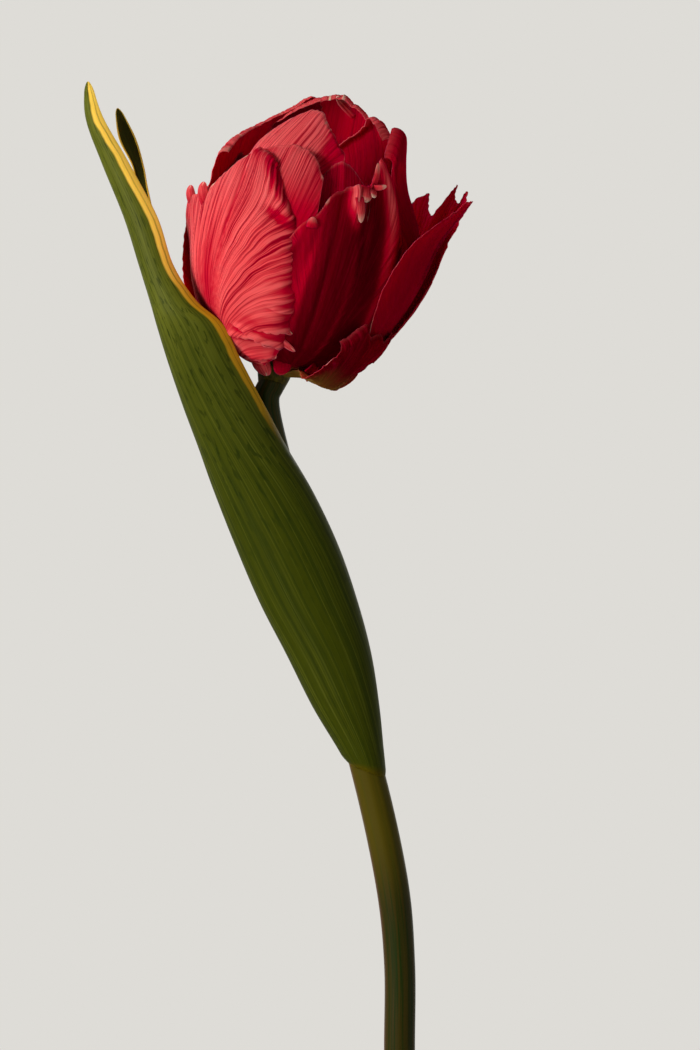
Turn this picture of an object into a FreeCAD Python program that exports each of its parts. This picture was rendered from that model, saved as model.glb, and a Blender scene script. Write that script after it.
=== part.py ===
"""A single cut double tulip of the parrot kind: stem, two clasping leaves and a ruffled red flower.

Frame: millimetres, +Z up, origin at the centre of the stem's cut end, viewer towards -Y.
"""
import FreeCAD, Part
import math
import os
from FreeCAD import Vector

# Stem: a straight round foot, then a gentle S to the flower
FOOT_RADIUS = 3.875
FOOT_LENGTH = 70.0
# above the foot: the centre line's x and z, and the radius there
STEM_LINE = [
    (0.0, 70.0, 3.875), (-2.1, 91.0, 4.1), (-8.6, 120.0, 4.05), (-18.4, 151.5, 3.85),
    (-27.6, 184.5, 3.6), (-33.2, 208.0, 3.35),
]

# Flower: the point where its petals meet, and how it leans to the right and nods to the viewer
HEAD = Vector(-30.9, 0.0, 219.0)
LEAN_RIGHT = math.radians(13)
NOD_FORWARD = math.radians(10)
UP = Vector(math.sin(LEAN_RIGHT) * math.cos(NOD_FORWARD), -math.sin(NOD_FORWARD),
            math.cos(LEAN_RIGHT) * math.cos(NOD_FORWARD))
RIGHT = Vector(math.cos(LEAN_RIGHT), 0, -math.sin(LEAN_RIGHT))
FRONT = RIGHT.cross(UP) * -1 if RIGHT.cross(UP).y > 0 else RIGHT.cross(UP)

# Receptacle: the swollen top of the stem, as (radius, height) down the flower's own axis
DOME = [(0, 7.4), (2.5, 6.4), (3.4, 4.4)]
SWELLING = [(4.1, 0.8), (4.3, -1.0), (4.0, -3.0)]
NECK = [(3.3, -5.4), (0, -5.4)]
# how far the stem's centre line runs on into the receptacle, and how firmly it keeps its direction
STEM_SEAT = 1.5
FOOT_PULL = 9.0
HEAD_PULL = 6.0

# Side profile of each whorl's cup from claw to tip: radii, then heights
WHORLS = {
    "outer": ((3.4, 13.5, 21.5, 26.5, 28.0, 27.0, 23.5), (0, 3, 10, 20.5, 32, 44, 57)),
    "middle": ((3.2, 11.5, 18.5, 23.3, 25.5, 23.5, 15.0), (2, 5, 11.5, 23, 38, 53, 68)),
    "pinched": ((3.2, 11.5, 18.5, 24.0, 28.0, 21.6, 18.6), (2, 5, 11.5, 23, 37.5, 52, 66)),
    "inner": ((2.4, 9.7, 16.0, 20.0, 21.3, 18.8, 9.0), (3.6, 6.6, 13.5, 24.5, 38.5, 53.5, 67.5)),
    "flared": ((3.4, 13.5, 21.8, 26.6, 30.3, 33.2, 39.0), (0, 3, 9.5, 19.3, 30, 41.4, 53.6)),
    "toothed": ((3.4, 13.9, 22.0, 28.2, 31.8, 33.2, 35.8), (0, 2.6, 9.3, 19.1, 29.8, 40.9, 53.0)),
    "low": ((3.6, 8.5, 13.0, 18.0, 22.5, 25.7, 27.2), (-1.4, -0.6, -1.0, -0.6, 4.8, 10.8, 18)),
}
# how far round a plain petal reaches at each step up its profile, as a share of its reach and tip
REACH_SHARES = (0.36, 0.80, 0.97, 1.0, 0.65, 0.35, 0.0)
TIP_SHARES = (0.0, 0.0, 0.0, 0.0, 0.35, 0.65, 1.0)
ROUND_TOP = (0.80, 0.93, 0.985, 1.0, 0.985, 0.93, 0.80)
PETAL_THICKNESS = 0.7
# over this first share of the height the petals gather into the receptacle
GATHER = 0.12
# share of the height over which a profile's slope is measured, up and down from each place
SLOPE_STEP = 0.01
# the profile runs on past the tip and the outline past the claw, so that the outline alone cuts the tip
TIP_OVERRUN = 2.0
CLAW_OVERRUN = 1.5
# degrees by which the turned strip is wider than its petal on each side
STRIP_MARGIN = 4.0
# heights of the outline's places up a petal's sides, as shares of that side's height
SIDE_STEPS = (0.0, 0.12, 0.27, 0.42, 0.56, 0.70, 0.85)
# the cutter stands this far outside the flower's axis and reaches this far inwards
CUTTER_STAND_OFF = 60.0
CUTTER_DEPTH = 75.0


def shares(reach, tip):
    """Degrees covered at each of seven steps up a plain petal's profile, on one side of its middle."""
    return tuple(reach * a + tip * b for a, b in zip(REACH_SHARES, TIP_SHARES))


def petal(whorl, azimuth, left, right, tall=1.0, flare=0.0, swell=0.0, outset=0.0, top=ROUND_TOP):
    """One petal's dimensions. Angles are degrees round the flower's axis, 0 at the viewer.

    left, right: degrees covered either side of the azimuth at seven steps from claw to tip.
    tall: share of the whorl's height; flare and swell: mm outwards at the tip and the belly.
    outset: mm outside the whorl's cup, so that neighbours overlap without touching.
    top: how far up each part of the edge reaches, left to right.
    """
    return dict(whorl=whorl, azimuth=azimuth, left=left, right=right, tall=tall, flare=flare,
                swell=swell, outset=outset, top=top)


PETALS = {
    "outer_petal_left": petal(
        "outer", -50, shares(54, 34), (20.0, 44.0, 51.0, 53.0, 50.0, 44.0, 17.0), flare=-0.5, outset=0.3,
        top=(0.71, 0.735, 0.76, 0.79, 0.85, 0.91, 0.935, 0.955, 0.97, 0.97, 0.96, 0.95, 0.94)),
    "outer_petal_front": petal(
        "outer", 20, shares(38, 26), (14.0, 31.0, 38.5, 39.5, 38.0, 34.5, 15.0), tall=1.06, outset=-0.75,
        top=(0.62, 0.70, 0.765, 0.80, 0.865, 0.89, 0.90, 0.90, 0.89, 0.955, 0.985, 1.0, 0.995)),
    "outer_petal_flared": petal(
        "flared", 76, (4.0, 6.0, 10.0, 24.0, 30.0, 25.0, 8.0), (8.0, 10.0, 14.0, 19.0, 6.5, 3.0, 3.0),
        outset=0.6, top=(0.93, 0.97, 1.0, 1.0, 1.0, 0.97, 0.93)),
    "outer_petal_toothed": petal(
        "toothed", 115, shares(34, 25), shares(33, 21), outset=1.3,
        top=(0.95, 0.985, 0.99, 0.965, 0.95, 0.985, 1.0, 0.95, 0.875, 0.90, 0.93, 0.90, 0.82)),
    "outer_petal_back": petal(
        "outer", 178, shares(44, 22), shares(42, 22), tall=1.02, flare=1.5, outset=0.4),
    "outer_petal_back_left": petal(
        "outer", -126, shares(34, 14), (10.0, 22.0, 27.0, 28.0, 28.0, 26.0, 2.0),
        tall=0.84, flare=1.6, swell=0.3, outset=1.5),
    "outer_petal_low": petal(
        "low", 56, (26.0, 24.0, 22.0, 18.0, 18.0, 23.0, 13.0), (12.0, 12.0, 11.0, 10.0, 10.0, 24.0, 26.0),
        flare=1.0, top=(0.86, 0.92, 0.99, 1.0, 0.97, 0.92, 0.93, 0.95, 0.92, 0.90, 0.93, 0.95, 0.90)),
    "middle_petal_front": petal(
        "middle", -22, shares(36, 28), shares(28, 25), tall=0.86, flare=3, swell=-0.8,
        top=(0.86, 0.93, 0.975, 1.0, 1.0, 0.985, 0.93)),
    "middle_petal_right": petal(
        "pinched", 90, (13.0, 28.0, 30.0, 29.0, 28.5, 33.0, 38.0), shares(36, 20),
        top=(0.90, 0.97, 1.0, 1.0, 0.98, 0.93, 0.84)),
    "middle_petal_back_left": petal(
        "middle", -140, shares(42, 32), shares(46, 36), flare=0.5, outset=0.8,
        top=(0.95, 1.0, 0.975, 0.935, 0.89, 0.845, 0.79)),
    "inner_petal_front": petal(
        "inner", 18, shares(32, 20), shares(32, 24), tall=0.83, flare=7, swell=0.5,
        top=(0.84, 0.945, 0.99, 1.0, 0.99, 0.95, 0.86)),
    "inner_petal_left": petal(
        "inner", -48, shares(50, 40), shares(50, 74), tall=0.99, flare=-2, outset=-0.4,
        top=(0.86, 0.95, 0.985, 1.0, 1.0, 0.97, 0.90)),
    "inner_petal_back": petal(
        "inner", 178, shares(40, 46), shares(40, 44), tall=1.02, flare=5.5, swell=0.6, outset=0.5,
        top=(0.88, 0.95, 0.985, 1.0, 0.985, 0.95, 0.88)),
    "inner_petal_back_right": petal(
        "inner", 136, shares(36, 8), shares(38, 36), tall=0.985, flare=6.5, swell=-1.6, outset=-0.9,
        top=(0.95, 0.985, 1.0, 1.0, 0.965, 0.92, 0.86)),
}

# Leaves as level sections of a folded sheet. Each section is part of an ellipse: its height, its
# leftmost and rightmost x, the centre's y, its half depth in y, and the angles where it starts and
# ends, from +X (0) through the back (90) and the left (180) to the viewer's side (270).
LEAF_THICKNESS = 0.9
LEAF_TIP_THICKNESS = 0.45
LEAF_POINTS = 11
FRONT_LEAF = [
    (117.5, -12.1, -3.6, 0.0, 4.25, 86, 428),
    (123.0, -14.8, -4.3, 0.0, 5.0, 83, 424),
    (134.0, -21.4, -5.4, 0.0, 6.2, 78, 413),
    (147.0, -27.9, -7.4, 0.0, 7.0, 74, 400),
    (160.0, -34.6, -10.8, 0.0, 7.4, 72, 388),
    (174.0, -40.6, -15.6, -0.4, 7.6, 72, 377),
    (188.0, -46.1, -22.0, -1.1, 7.5, 74, 364),
    (199.0, -50.0, -28.4, -2.8, 7.2, 77, 350),
    (209.0, -53.7, -33.7, -5.6, 6.6, 79, 336),
    (220.0, -57.4, -39.4, -10.6, 5.8, 79, 322),
    (229.0, -60.1, -43.9, -15.2, 5.2, 77, 314),
    (235.0, -61.8, -50.6, -14.6, 5.0, 76, 311),
    (244.0, -64.6, -56.4, -11.6, 4.6, 74, 307),
    (256.0, -68.4, -60.4, -8.4, 4.0, 71, 303),
    (270.0, -74.1, -67.8, -5.2, 3.3, 69, 300),
    (281.0, -78.1, -74.0, -3.6, 2.2, 70, 295),
    (290.0, -78.6, -77.0, -2.6, 0.9, 75, 288),
]
BACK_LEAF = [
    (190.0, -32.8, -25.4, 0.0, 3.7, -5, 185),
    (196.0, -35.3, -27.0, 0.9, 4.3, 2, 178),
    (202.0, -36.6, -29.6, 2.2, 4.6, 8, 165),
    (208.0, -42.0, -32.2, 3.9, 4.6, 15, 158),
    (216.0, -51.6, -38.6, 4.8, 4.4, 25, 152),
    (226.0, -57.2, -46.5, 4.8, 4.2, 32, 150),
    (240.0, -61.6, -55.2, 4.2, 3.6, 36, 148),
    (254.0, -65.2, -60.6, 3.4, 3.0, 40, 145),
    (263.0, -65.8, -62.9, 2.8, 2.4, 42, 142),
    (269.0, -66.8, -64.0, 2.4, 2.0, 45, 140),
    (276.0, -70.2, -66.0, 2.0, 1.7, 48, 138),
    (283.5, -71.2, -69.8, 1.6, 1.0, 50, 132),
]

# Pistil and stamens, standing on the receptacle inside the closed flower
OVARY_FOOT = 5.9
OVARY_TOP = 26.0
LOBE_COUNT = 3
LOBE_OFFSET = 1.0
LOBE_RADIUS = 1.6
# an ovary lobe's radius and offset at the top, as a share of those at its foot
LOBE_TAPER = 0.7
STIGMA_SPREAD = 2.2
STIGMA_HEIGHT = 1.4
STIGMA_LOBE = 1.3
# a stigma lobe's radius at the middle as a share of that at its end, and its depth in the ovary
STIGMA_NECK = 0.8
STIGMA_SEAT = 0.6
STAMEN_COUNT = 6
STAMEN_RING = 3.1
STAMEN_FOOT = 5.0
FILAMENT_TOP = 17.0
FILAMENT_SPREAD = 6.0
FILAMENT_RADIUS = 0.6
FILAMENT_FOOT_RADIUS = 0.78
ANTHER_LENGTH = 8.5
ANTHER_RADIUS = 1.3
ANTHER_TIP_RADIUS = 1.04


def through(values, t):
    """A smooth curve through evenly spaced values, at t from 0 to 1."""
    last = len(values) - 1
    x = min(max(t, 0.0), 1.0) * last
    i = min(int(x), last - 1)
    f = x - i
    a = values[i - 1] if i > 0 else 2 * values[0] - values[1]
    b = values[i]
    c = values[i + 1]
    d = values[i + 2] if i + 2 <= last else 2 * values[last] - values[last - 1]
    return b + 0.5 * f * (c - a + f * (2 * a - 5 * b + 4 * c - d + f * (3 * b - a - 3 * c + d)))


def in_flower(radius, azimuth, height):
    """A place in the flower from its radius, its angle in degrees and its height on the axis."""
    a = math.radians(azimuth)
    return HEAD + FRONT * (radius * math.cos(a)) + RIGHT * (radius * math.sin(a)) + UP * height


def cup(p, rise):
    """Radius and height on a petal's side profile at this share of its length."""
    radii, heights = WHORLS[p["whorl"]]
    radius = through(radii, rise) + p["swell"] * math.sin(math.pi * rise) + p["flare"] * rise ** 3
    height = heights[0] + (through(heights, rise) - heights[0]) * p["tall"]
    return radius, height


def side_profile(p, side, azimuth):
    """The curve of one face of a petal, half a thickness to that side of the cup, and past its tip."""
    steps = len(WHORLS[p["whorl"]][0]) - 1
    places = []
    for k in range(steps + 1):
        rise = k / steps
        radius, height = cup(p, rise)
        lower_radius, lower_height = cup(p, max(rise - SLOPE_STEP, 0))
        upper_radius, upper_height = cup(p, min(rise + SLOPE_STEP, 1))
        run = upper_radius - lower_radius
        climb = upper_height - lower_height
        slope = math.hypot(run, climb)
        out = min(1, rise / GATHER) * p["outset"] + side * PETAL_THICKNESS / 2
        places.append((radius + out * climb / slope, height - out * run / slope))
    last_radius, last_height = places[-1]
    places.append((last_radius + TIP_OVERRUN * run / slope, last_height + TIP_OVERRUN * climb / slope))
    curve = Part.BSplineCurve()
    curve.interpolate([in_flower(radius, azimuth, height) for radius, height in places])
    return curve.toShape()


def edge_place(p, rise, u):
    """A place on the cup at this share of a petal's length, u from -1 at its left edge to 1 at its right."""
    radius, height = cup(p, rise)
    widths = p["right"] if u > 0 else p["left"]
    return in_flower(radius, p["azimuth"] + u * through(widths, rise), height)


def outline(p):
    """Places round a petal's edge: up its left side, over the top and down its right side."""
    tops = p["top"]
    left = [edge_place(p, step * tops[0], -1) for step in SIDE_STEPS]
    over = [edge_place(p, rise, -1 + 2 * k / (len(tops) - 1)) for k, rise in enumerate(tops)]
    right = [edge_place(p, step * tops[-1], 1) for step in reversed(SIDE_STEPS)]
    return left + over + right


def make_petal(p, receptacle):
    """A turned strip of the cup, cut to the petal's outline seen square on and to the receptacle."""
    widest = max(p["left"] + p["right"]) + STRIP_MARGIN
    start = p["azimuth"] - widest
    outer = side_profile(p, 1, start)
    inner = side_profile(p, -1, start)
    tip_line = Part.makeLine(outer.Vertexes[-1].Point, inner.Vertexes[-1].Point)
    claw_line = Part.makeLine(inner.Vertexes[0].Point, outer.Vertexes[0].Point)
    strip = Part.Face(Part.Wire([outer, tip_line, inner, claw_line])).revolve(HEAD, UP, 2 * widest)

    claw = edge_place(p, 0.0, 0)
    tip = edge_place(p, 1.0, 0)
    chord = (tip - claw).normalize()
    side = UP.cross(tip - HEAD).normalize()
    outwards = chord.cross(side)
    if outwards.dot(in_flower(1, p["azimuth"], 0) - HEAD) < 0:
        outwards = outwards * -1
    plane = HEAD + outwards * CUTTER_STAND_OFF
    flat = [point + outwards * (plane - point).dot(outwards) for point in outline(p)]
    flat = [flat[0] - chord * CLAW_OVERRUN] + flat + [flat[-1] - chord * CLAW_OVERRUN]
    edge = Part.BSplineCurve()
    edge.interpolate(flat)
    face = Part.Face(Part.Wire([edge.toShape(), Part.makeLine(flat[-1], flat[0])]))
    return largest(strip.common(face.extrude(outwards * -CUTTER_DEPTH)).cut(receptacle))


def largest(shape):
    """The biggest solid of a cut."""
    return max(shape.Solids, key=lambda s: s.Volume)


def make_receptacle():
    """The turned seat of the petals: a dome, a straight flank with the whorls and a swelling below."""
    dome = [in_flower(radius, 90, height) for radius, height in DOME]
    swelling = [in_flower(radius, 90, height) for radius, height in SWELLING]
    neck = [in_flower(radius, 90, height) for radius, height in NECK]
    edges = [Part.Arc(*dome).toShape(), Part.makeLine(dome[-1], swelling[0]), Part.Arc(*swelling).toShape(),
             Part.makeLine(swelling[-1], neck[0]), Part.makeLine(neck[0], neck[1]),
             Part.makeLine(neck[1], dome[0])]
    return Part.Face(Part.Wire(edges)).revolve(HEAD, UP, 360)


def make_stem(receptacle):
    """A round foot and a smooth taper through the sections of the centre line, up into the receptacle."""
    line = Part.BSplineCurve()
    top = in_flower(0, 0, NECK[-1][1] + STEM_SEAT)
    centres = [Vector(x, 0, z) for x, z, radius in STEM_LINE] + [top]
    radii = [radius for x, z, radius in STEM_LINE] + [STEM_LINE[-1][2]]
    line.interpolate(Points=centres, InitialTangent=Vector(0, 0, FOOT_PULL), FinalTangent=UP * HEAD_PULL)
    rings = []
    for centre, radius in zip(centres, radii):
        direction = line.tangent(line.parameter(centre))[0]
        rings.append(Part.Wire(Part.Circle(centre, direction, radius).toShape()))
    upper = Part.makeLoft(rings, True, False)
    foot = Part.makeCylinder(FOOT_RADIUS, FOOT_LENGTH)
    return largest(foot.fuse(upper).removeSplitter().cut(receptacle))


def cosine(degrees):
    return math.cos(math.radians(degrees))


def leaf_section(row, thickness):
    """One closed level section of a leaf: an elliptical band."""
    height, left, right, centre_y, depth, start, end = row
    leftmost = -1 if start <= 180 <= end else min(cosine(start), cosine(end))
    rightmost = 1 if end >= 360 or start <= 0 else max(cosine(start), cosine(end))
    half_width = (right - left) / (rightmost - leftmost)
    centre_x = left - half_width * leftmost
    arcs = []
    for side in (1, -1):
        places = []
        for k in range(LEAF_POINTS):
            angle = start + (end - start) * k / (LEAF_POINTS - 1)
            x = centre_x + (half_width + side * thickness / 2) * cosine(angle)
            y = centre_y + (depth + side * thickness / 2) * math.sin(math.radians(angle))
            places.append(Vector(x, y, height))
        curve = Part.BSplineCurve()
        curve.interpolate(places)
        arcs.append(curve)
    outer, inner = [arc.toShape() for arc in arcs]
    first = Part.makeLine(inner.Vertexes[0].Point, outer.Vertexes[0].Point)
    last = Part.makeLine(outer.Vertexes[-1].Point, inner.Vertexes[-1].Point)
    return Part.Wire([first, outer, last, inner])


def make_leaf(rows, stem):
    """A leaf lofted through its level sections; its foot clasps the stem."""
    sections = [leaf_section(row, LEAF_THICKNESS) for row in rows[:-1]]
    sections.append(leaf_section(rows[-1], LEAF_TIP_THICKNESS))
    return largest(Part.makeLoft(sections, True, False).cut(stem))


def make_ovary(receptacle):
    """A three-lobed ovary: three tapered lobes side by side, drawn in towards the top."""
    lobes = []
    for k in range(LOBE_COUNT):
        azimuth = 360 / LOBE_COUNT * k
        foot = in_flower(LOBE_OFFSET, azimuth, OVARY_FOOT)
        rise = in_flower(LOBE_OFFSET * LOBE_TAPER, azimuth, OVARY_TOP) - foot
        lobes.append(Part.makeCone(LOBE_RADIUS, LOBE_RADIUS * LOBE_TAPER, rise.Length, foot, rise))
    return largest(lobes[0].fuse(lobes[1:]).cut(receptacle))


def make_stigma(ovary):
    """Three spreading lobes that meet on top of the ovary."""
    lobes = []
    foot = in_flower(0, 0, OVARY_TOP - STIGMA_SEAT)
    for k in range(LOBE_COUNT):
        outer = in_flower(STIGMA_SPREAD, 360 / LOBE_COUNT * k, OVARY_TOP + STIGMA_HEIGHT)
        reach = outer - foot
        neck = Part.makeCone(STIGMA_LOBE * STIGMA_NECK, STIGMA_LOBE, reach.Length, foot, reach)
        lobes += [neck, Part.makeSphere(STIGMA_LOBE, outer)]
    return largest(lobes[0].fuse(lobes[1:]).cut(ovary))


def make_stamen(k, receptacle):
    """One filament and the anther that it carries, a long capsule."""
    azimuth = 360 / STAMEN_COUNT * (k + 0.5)
    foot = in_flower(STAMEN_RING, azimuth, STAMEN_FOOT)
    head = in_flower(FILAMENT_SPREAD, azimuth, FILAMENT_TOP)
    reach = head - foot
    axis = reach / reach.Length
    filament = Part.makeCone(FILAMENT_FOOT_RADIUS, FILAMENT_RADIUS, reach.Length, foot, reach)
    lower = head + axis * ANTHER_RADIUS
    upper = lower + axis * ANTHER_LENGTH
    body = Part.makeCone(ANTHER_RADIUS, ANTHER_TIP_RADIUS, ANTHER_LENGTH, lower, axis)
    ends = [Part.makeSphere(ANTHER_RADIUS, lower), Part.makeSphere(ANTHER_TIP_RADIUS, upper)]
    anther = largest(body.fuse(ends))
    return largest(filament.cut(receptacle).cut(anther)), anther


def build():
    """Every piece by its node's name."""
    pieces = {}
    receptacle = make_receptacle()
    stem = make_stem(receptacle)
    pieces["receptacle"] = receptacle
    pieces["stem"] = stem
    pieces["leaf_front"] = make_leaf(FRONT_LEAF, stem)
    pieces["leaf_back"] = make_leaf(BACK_LEAF, stem)
    for name, dimensions in PETALS.items():
        pieces[name] = make_petal(dimensions, receptacle)
    pieces["ovary"] = make_ovary(receptacle)
    pieces["stigma"] = make_stigma(pieces["ovary"])
    for k in range(STAMEN_COUNT):
        filament, anther = make_stamen(k, receptacle)
        pieces[f"filament_{k + 1}"] = filament
        pieces[f"anther_{k + 1}"] = anther
    return pieces


os.makedirs("parts", exist_ok=True)
for node, solid in build().items():
    solid.exportStep(f"parts/{node}.step")
    print(f"{node}: {solid.Volume / 1000:.2f} cm3, valid {solid.isValid()}, {len(solid.Faces)} faces")
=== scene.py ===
"""How a cut double tulip looks: ruffled petals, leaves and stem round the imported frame.

Places are in the frame's metres. The flower's own dimensions are in millimetres, and MM turns them into
metres. The viewer is towards -Y.
"""
import math

import bpy
import numpy as np
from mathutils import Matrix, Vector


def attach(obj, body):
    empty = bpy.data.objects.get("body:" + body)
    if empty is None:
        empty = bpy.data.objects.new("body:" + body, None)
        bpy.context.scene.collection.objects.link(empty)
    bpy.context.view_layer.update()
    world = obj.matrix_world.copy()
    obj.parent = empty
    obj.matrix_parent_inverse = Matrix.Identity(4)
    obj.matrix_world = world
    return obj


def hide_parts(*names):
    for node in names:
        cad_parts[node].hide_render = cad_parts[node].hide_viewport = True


MM = 0.001

# The photograph's frame in pixels, and what one of its pixels spans at the flower
PHOTO_HEIGHT_PX = 1050
PHOTO_CENTRE_X_PX = 350
STEM_FOOT_X_PX = 399.5
PX = 0.25 * MM
BELOW_PICTURE = 48 * MM
CAMERA_DISTANCE = 3.0
SENSOR = 36.0

# The flower: where its petals meet, and how it leans to the right and nods to the viewer
HEAD = np.array((-30.9, 0.0, 219.0)) * MM
LEAN_RIGHT = math.radians(13)
NOD_FORWARD = math.radians(10)
UP = np.array((math.sin(LEAN_RIGHT) * math.cos(NOD_FORWARD), -math.sin(NOD_FORWARD),
               math.cos(LEAN_RIGHT) * math.cos(NOD_FORWARD)))
RIGHT = np.array((math.cos(LEAN_RIGHT), 0, -math.sin(LEAN_RIGHT)))
FRONT = np.cross(RIGHT, UP)
# the middle of the cup, which rolled margins turn to
FLOWER_MIDDLE = HEAD + 30 * MM * UP

# Side profile of each whorl's cup from claw to tip in mm: radii, then heights
WHORLS = {
    "outer": ((3.4, 13.5, 21.5, 26.5, 28, 27, 23.5), (0, 3, 10, 20.5, 32, 44, 57)),
    "middle": ((3.2, 11.5, 18.5, 23.3, 25.5, 23.5, 15), (2, 5, 11.5, 23, 38, 53, 68)),
    "pinched": ((3.2, 11.5, 18.5, 24, 28, 21.6, 18.6), (2, 5, 11.5, 23, 37.5, 52, 66)),
    "inner": ((2.4, 9.7, 16, 20, 21.3, 18.8, 9), (3.6, 6.6, 13.5, 24.5, 38.5, 53.5, 67.5)),
    "flared": ((3.4, 13.5, 21.8, 26.6, 30.3, 33.2, 39), (0, 3, 9.5, 19.3, 30, 41.4, 53.6)),
    "toothed": ((3.4, 13.9, 22, 28.2, 31.8, 33.2, 35.8), (0, 2.6, 9.3, 19.1, 29.8, 40.9, 53)),
    "low": ((3.6, 8.5, 13, 18, 22.5, 25.7, 27.2), (-1.4, -0.6, -1, -0.6, 4.8, 10.8, 18)),
}
# how wide a petal is at the first four steps up its profile, as a share of its reach, and how far the
# last three have come from its reach to its tip
SPREAD = (0.36, 0.80, 0.97, 1.0)
TAPER = (0.35, 0.65, 1.0)
# how far up each part of a plain rim reaches, left to right
ROUND_TOP = (0.80, 0.93, 0.985, 1.0, 0.985, 0.93, 0.80)
# a plain petal's green foot: the height where it ends, the height below which it is full, and its share
PLAIN_FOOT = (0.16, 0.0, 0.7)
# share of a petal's length over which it moves out to its own place beside the cup
GATHER = 0.12
# steps over which the profile's slope and the sheet's directions are taken, as shares of the petal
PROFILE_STEP = 0.004
STEP = 0.006
# points on the profile that measure its length
PROFILE_POINTS = 60

# Margins: mm from a petal's middle to its side, about, and the least that a roll counts with
USUAL_REACH = 25
LEAST_REACH = 3
# the most of a side's reach that its roll takes
LARGEST_ROLL = 0.7
# heights between which notches, ruffles with ridges, and rolls set in on the sides
NOTCHES_FROM = (0.25, 0.45)
RUFFLES_FROM = (0.15, 0.4)
ROLLS_FROM = (0.15, 0.45)
# powers by which ruffles on the left, the rim and the right, and ridges, fade inwards from the margin
RUFFLE_FADE = (5, 7, 5)
CRIMP_FADE = 2.2
# mm of height of a petal's veins, and the heights between which they set in
VEIN_HEIGHT = 0.05
VEINS_FROM = (0.05, 0.3)

# bloom up to this share turns a petal's deep red to crimson, and more of it turns that to coral
CRIMSON_BLOOM = 0.3
# mm above its surroundings at which a fold is fully paler with painted light, and a hollow fully darker
# with painted shade, how much paler or darker, and how many steps of the grid its surroundings reach
FOLD_HEIGHT = 0.2
FOLD_PAINTED_LIGHT = 0.35
FOLD_REACH = 4

# Thickness of a petal in mm at its middle, at its margin and at its claw
PETAL_MIDDLE = 0.5
PETAL_MARGIN = 0.16
PETAL_CLAW = 0.9
PETAL_ROWS = 170
PETAL_COLUMNS = 120
# how much closer together its rows lie near the rim, and its columns near the sides
ROW_CROWDING = 0.15
COLUMN_CROWDING = 0.25
# a frill's grid, how far in mm its middle stands out, and its thickness in mm
FRILL_ROWS = 24
FRILL_COLUMNS = 9
FRILL_CURL = 0.8
FRILL_THICKNESS = PETAL_MARGIN * 1.5
# share of a frill's length from which its end turns pale
PALE_FROM = 0.6


def shares(reach, tip):
    """Degrees covered at each of seven steps up a petal's profile, on one side of its middle."""
    return tuple(reach * share for share in SPREAD) + tuple(reach * (1 - t) + tip * t for t in TAPER)


# What a petal has unless its own dimensions say otherwise
PLAIN_PETAL = dict(
    tall=1, flare=0, swell=0, outset=0, top=ROUND_TOP, ruffle=(0, 0, 0), crimp=(0, 0, 0),
    teeth=(0, 0, 0), roll=(0, 0, 0), roll_width=2, side_roll=(0, 0), side_width=2, fan=(1.6, 1.6),
    bumps=(), pleats=(), slits=(), frills=(), pale=0.5, patches=(), deep=0, green=PLAIN_FOOT)


def petal(whorl, azimuth, left, right, **own):
    """One petal's dimensions: mm, and degrees round the flower's axis from the viewer.

    Places on the petal are u, from -1 at its left margin to 1 at its right, and v, from 0 at its claw to
    1 at its rim.

    left, right: degrees covered either side of the azimuth at seven steps from claw to tip.
    tall: share of the whorl's height; flare and swell: mm outwards at the tip and the belly.
    outset: mm outside the whorl's cup. top: how far up each part of the rim reaches, left to right.
    ruffle, crimp, teeth: mm of wave, fine ridge and notch at the left margin, the rim and the right.
    roll: degrees that the rim turns in, left to right, over roll_width mm; side_roll and side_width do
    the same for the left and right margins. fan: how fast the veins turn to each margin.
    bumps: swellings as (u, v, half width in u, half width in v, mm outwards).
    pleats: folds towards the right margin as (v of the fold's lip, u where it starts, mm, length in v).
    slits: narrow cuts in the rim as (u, depth as a share of the length, half width in u).
    frills: tongues on the margin as (root, tip, mm of width, how pale the tip is, degrees that its
    face turns from outwards), both places as (radius, angle, height).
    pale: coral bloom on the outer face; the petals turned to the key lamp carry much of it, so it is
    partly painted light. patches: painted shade and painted highlights, as less or more of the bloom,
    as (u, v, half width in u, half width in v, amount). deep: share of dark red, partly the petal's own
    colour and partly painted shade on the petals that lie in shade. green: its green foot, as
    PLAIN_FOOT is written.
    seed: sets its random waves and its pattern of streaks.
    """
    return {**PLAIN_PETAL, "whorl": whorl, "azimuth": azimuth, "left": left, "right": right, **own}


# Petals turned to the key lamp on the left carry much coral bloom, while those on the right and underneath
# carry little of it and more dark red, so the lamp's light and shade are partly painted into their colours.
# Their patches paint more shade under folds and on shadowed margins, and highlights on lit bands.
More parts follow.
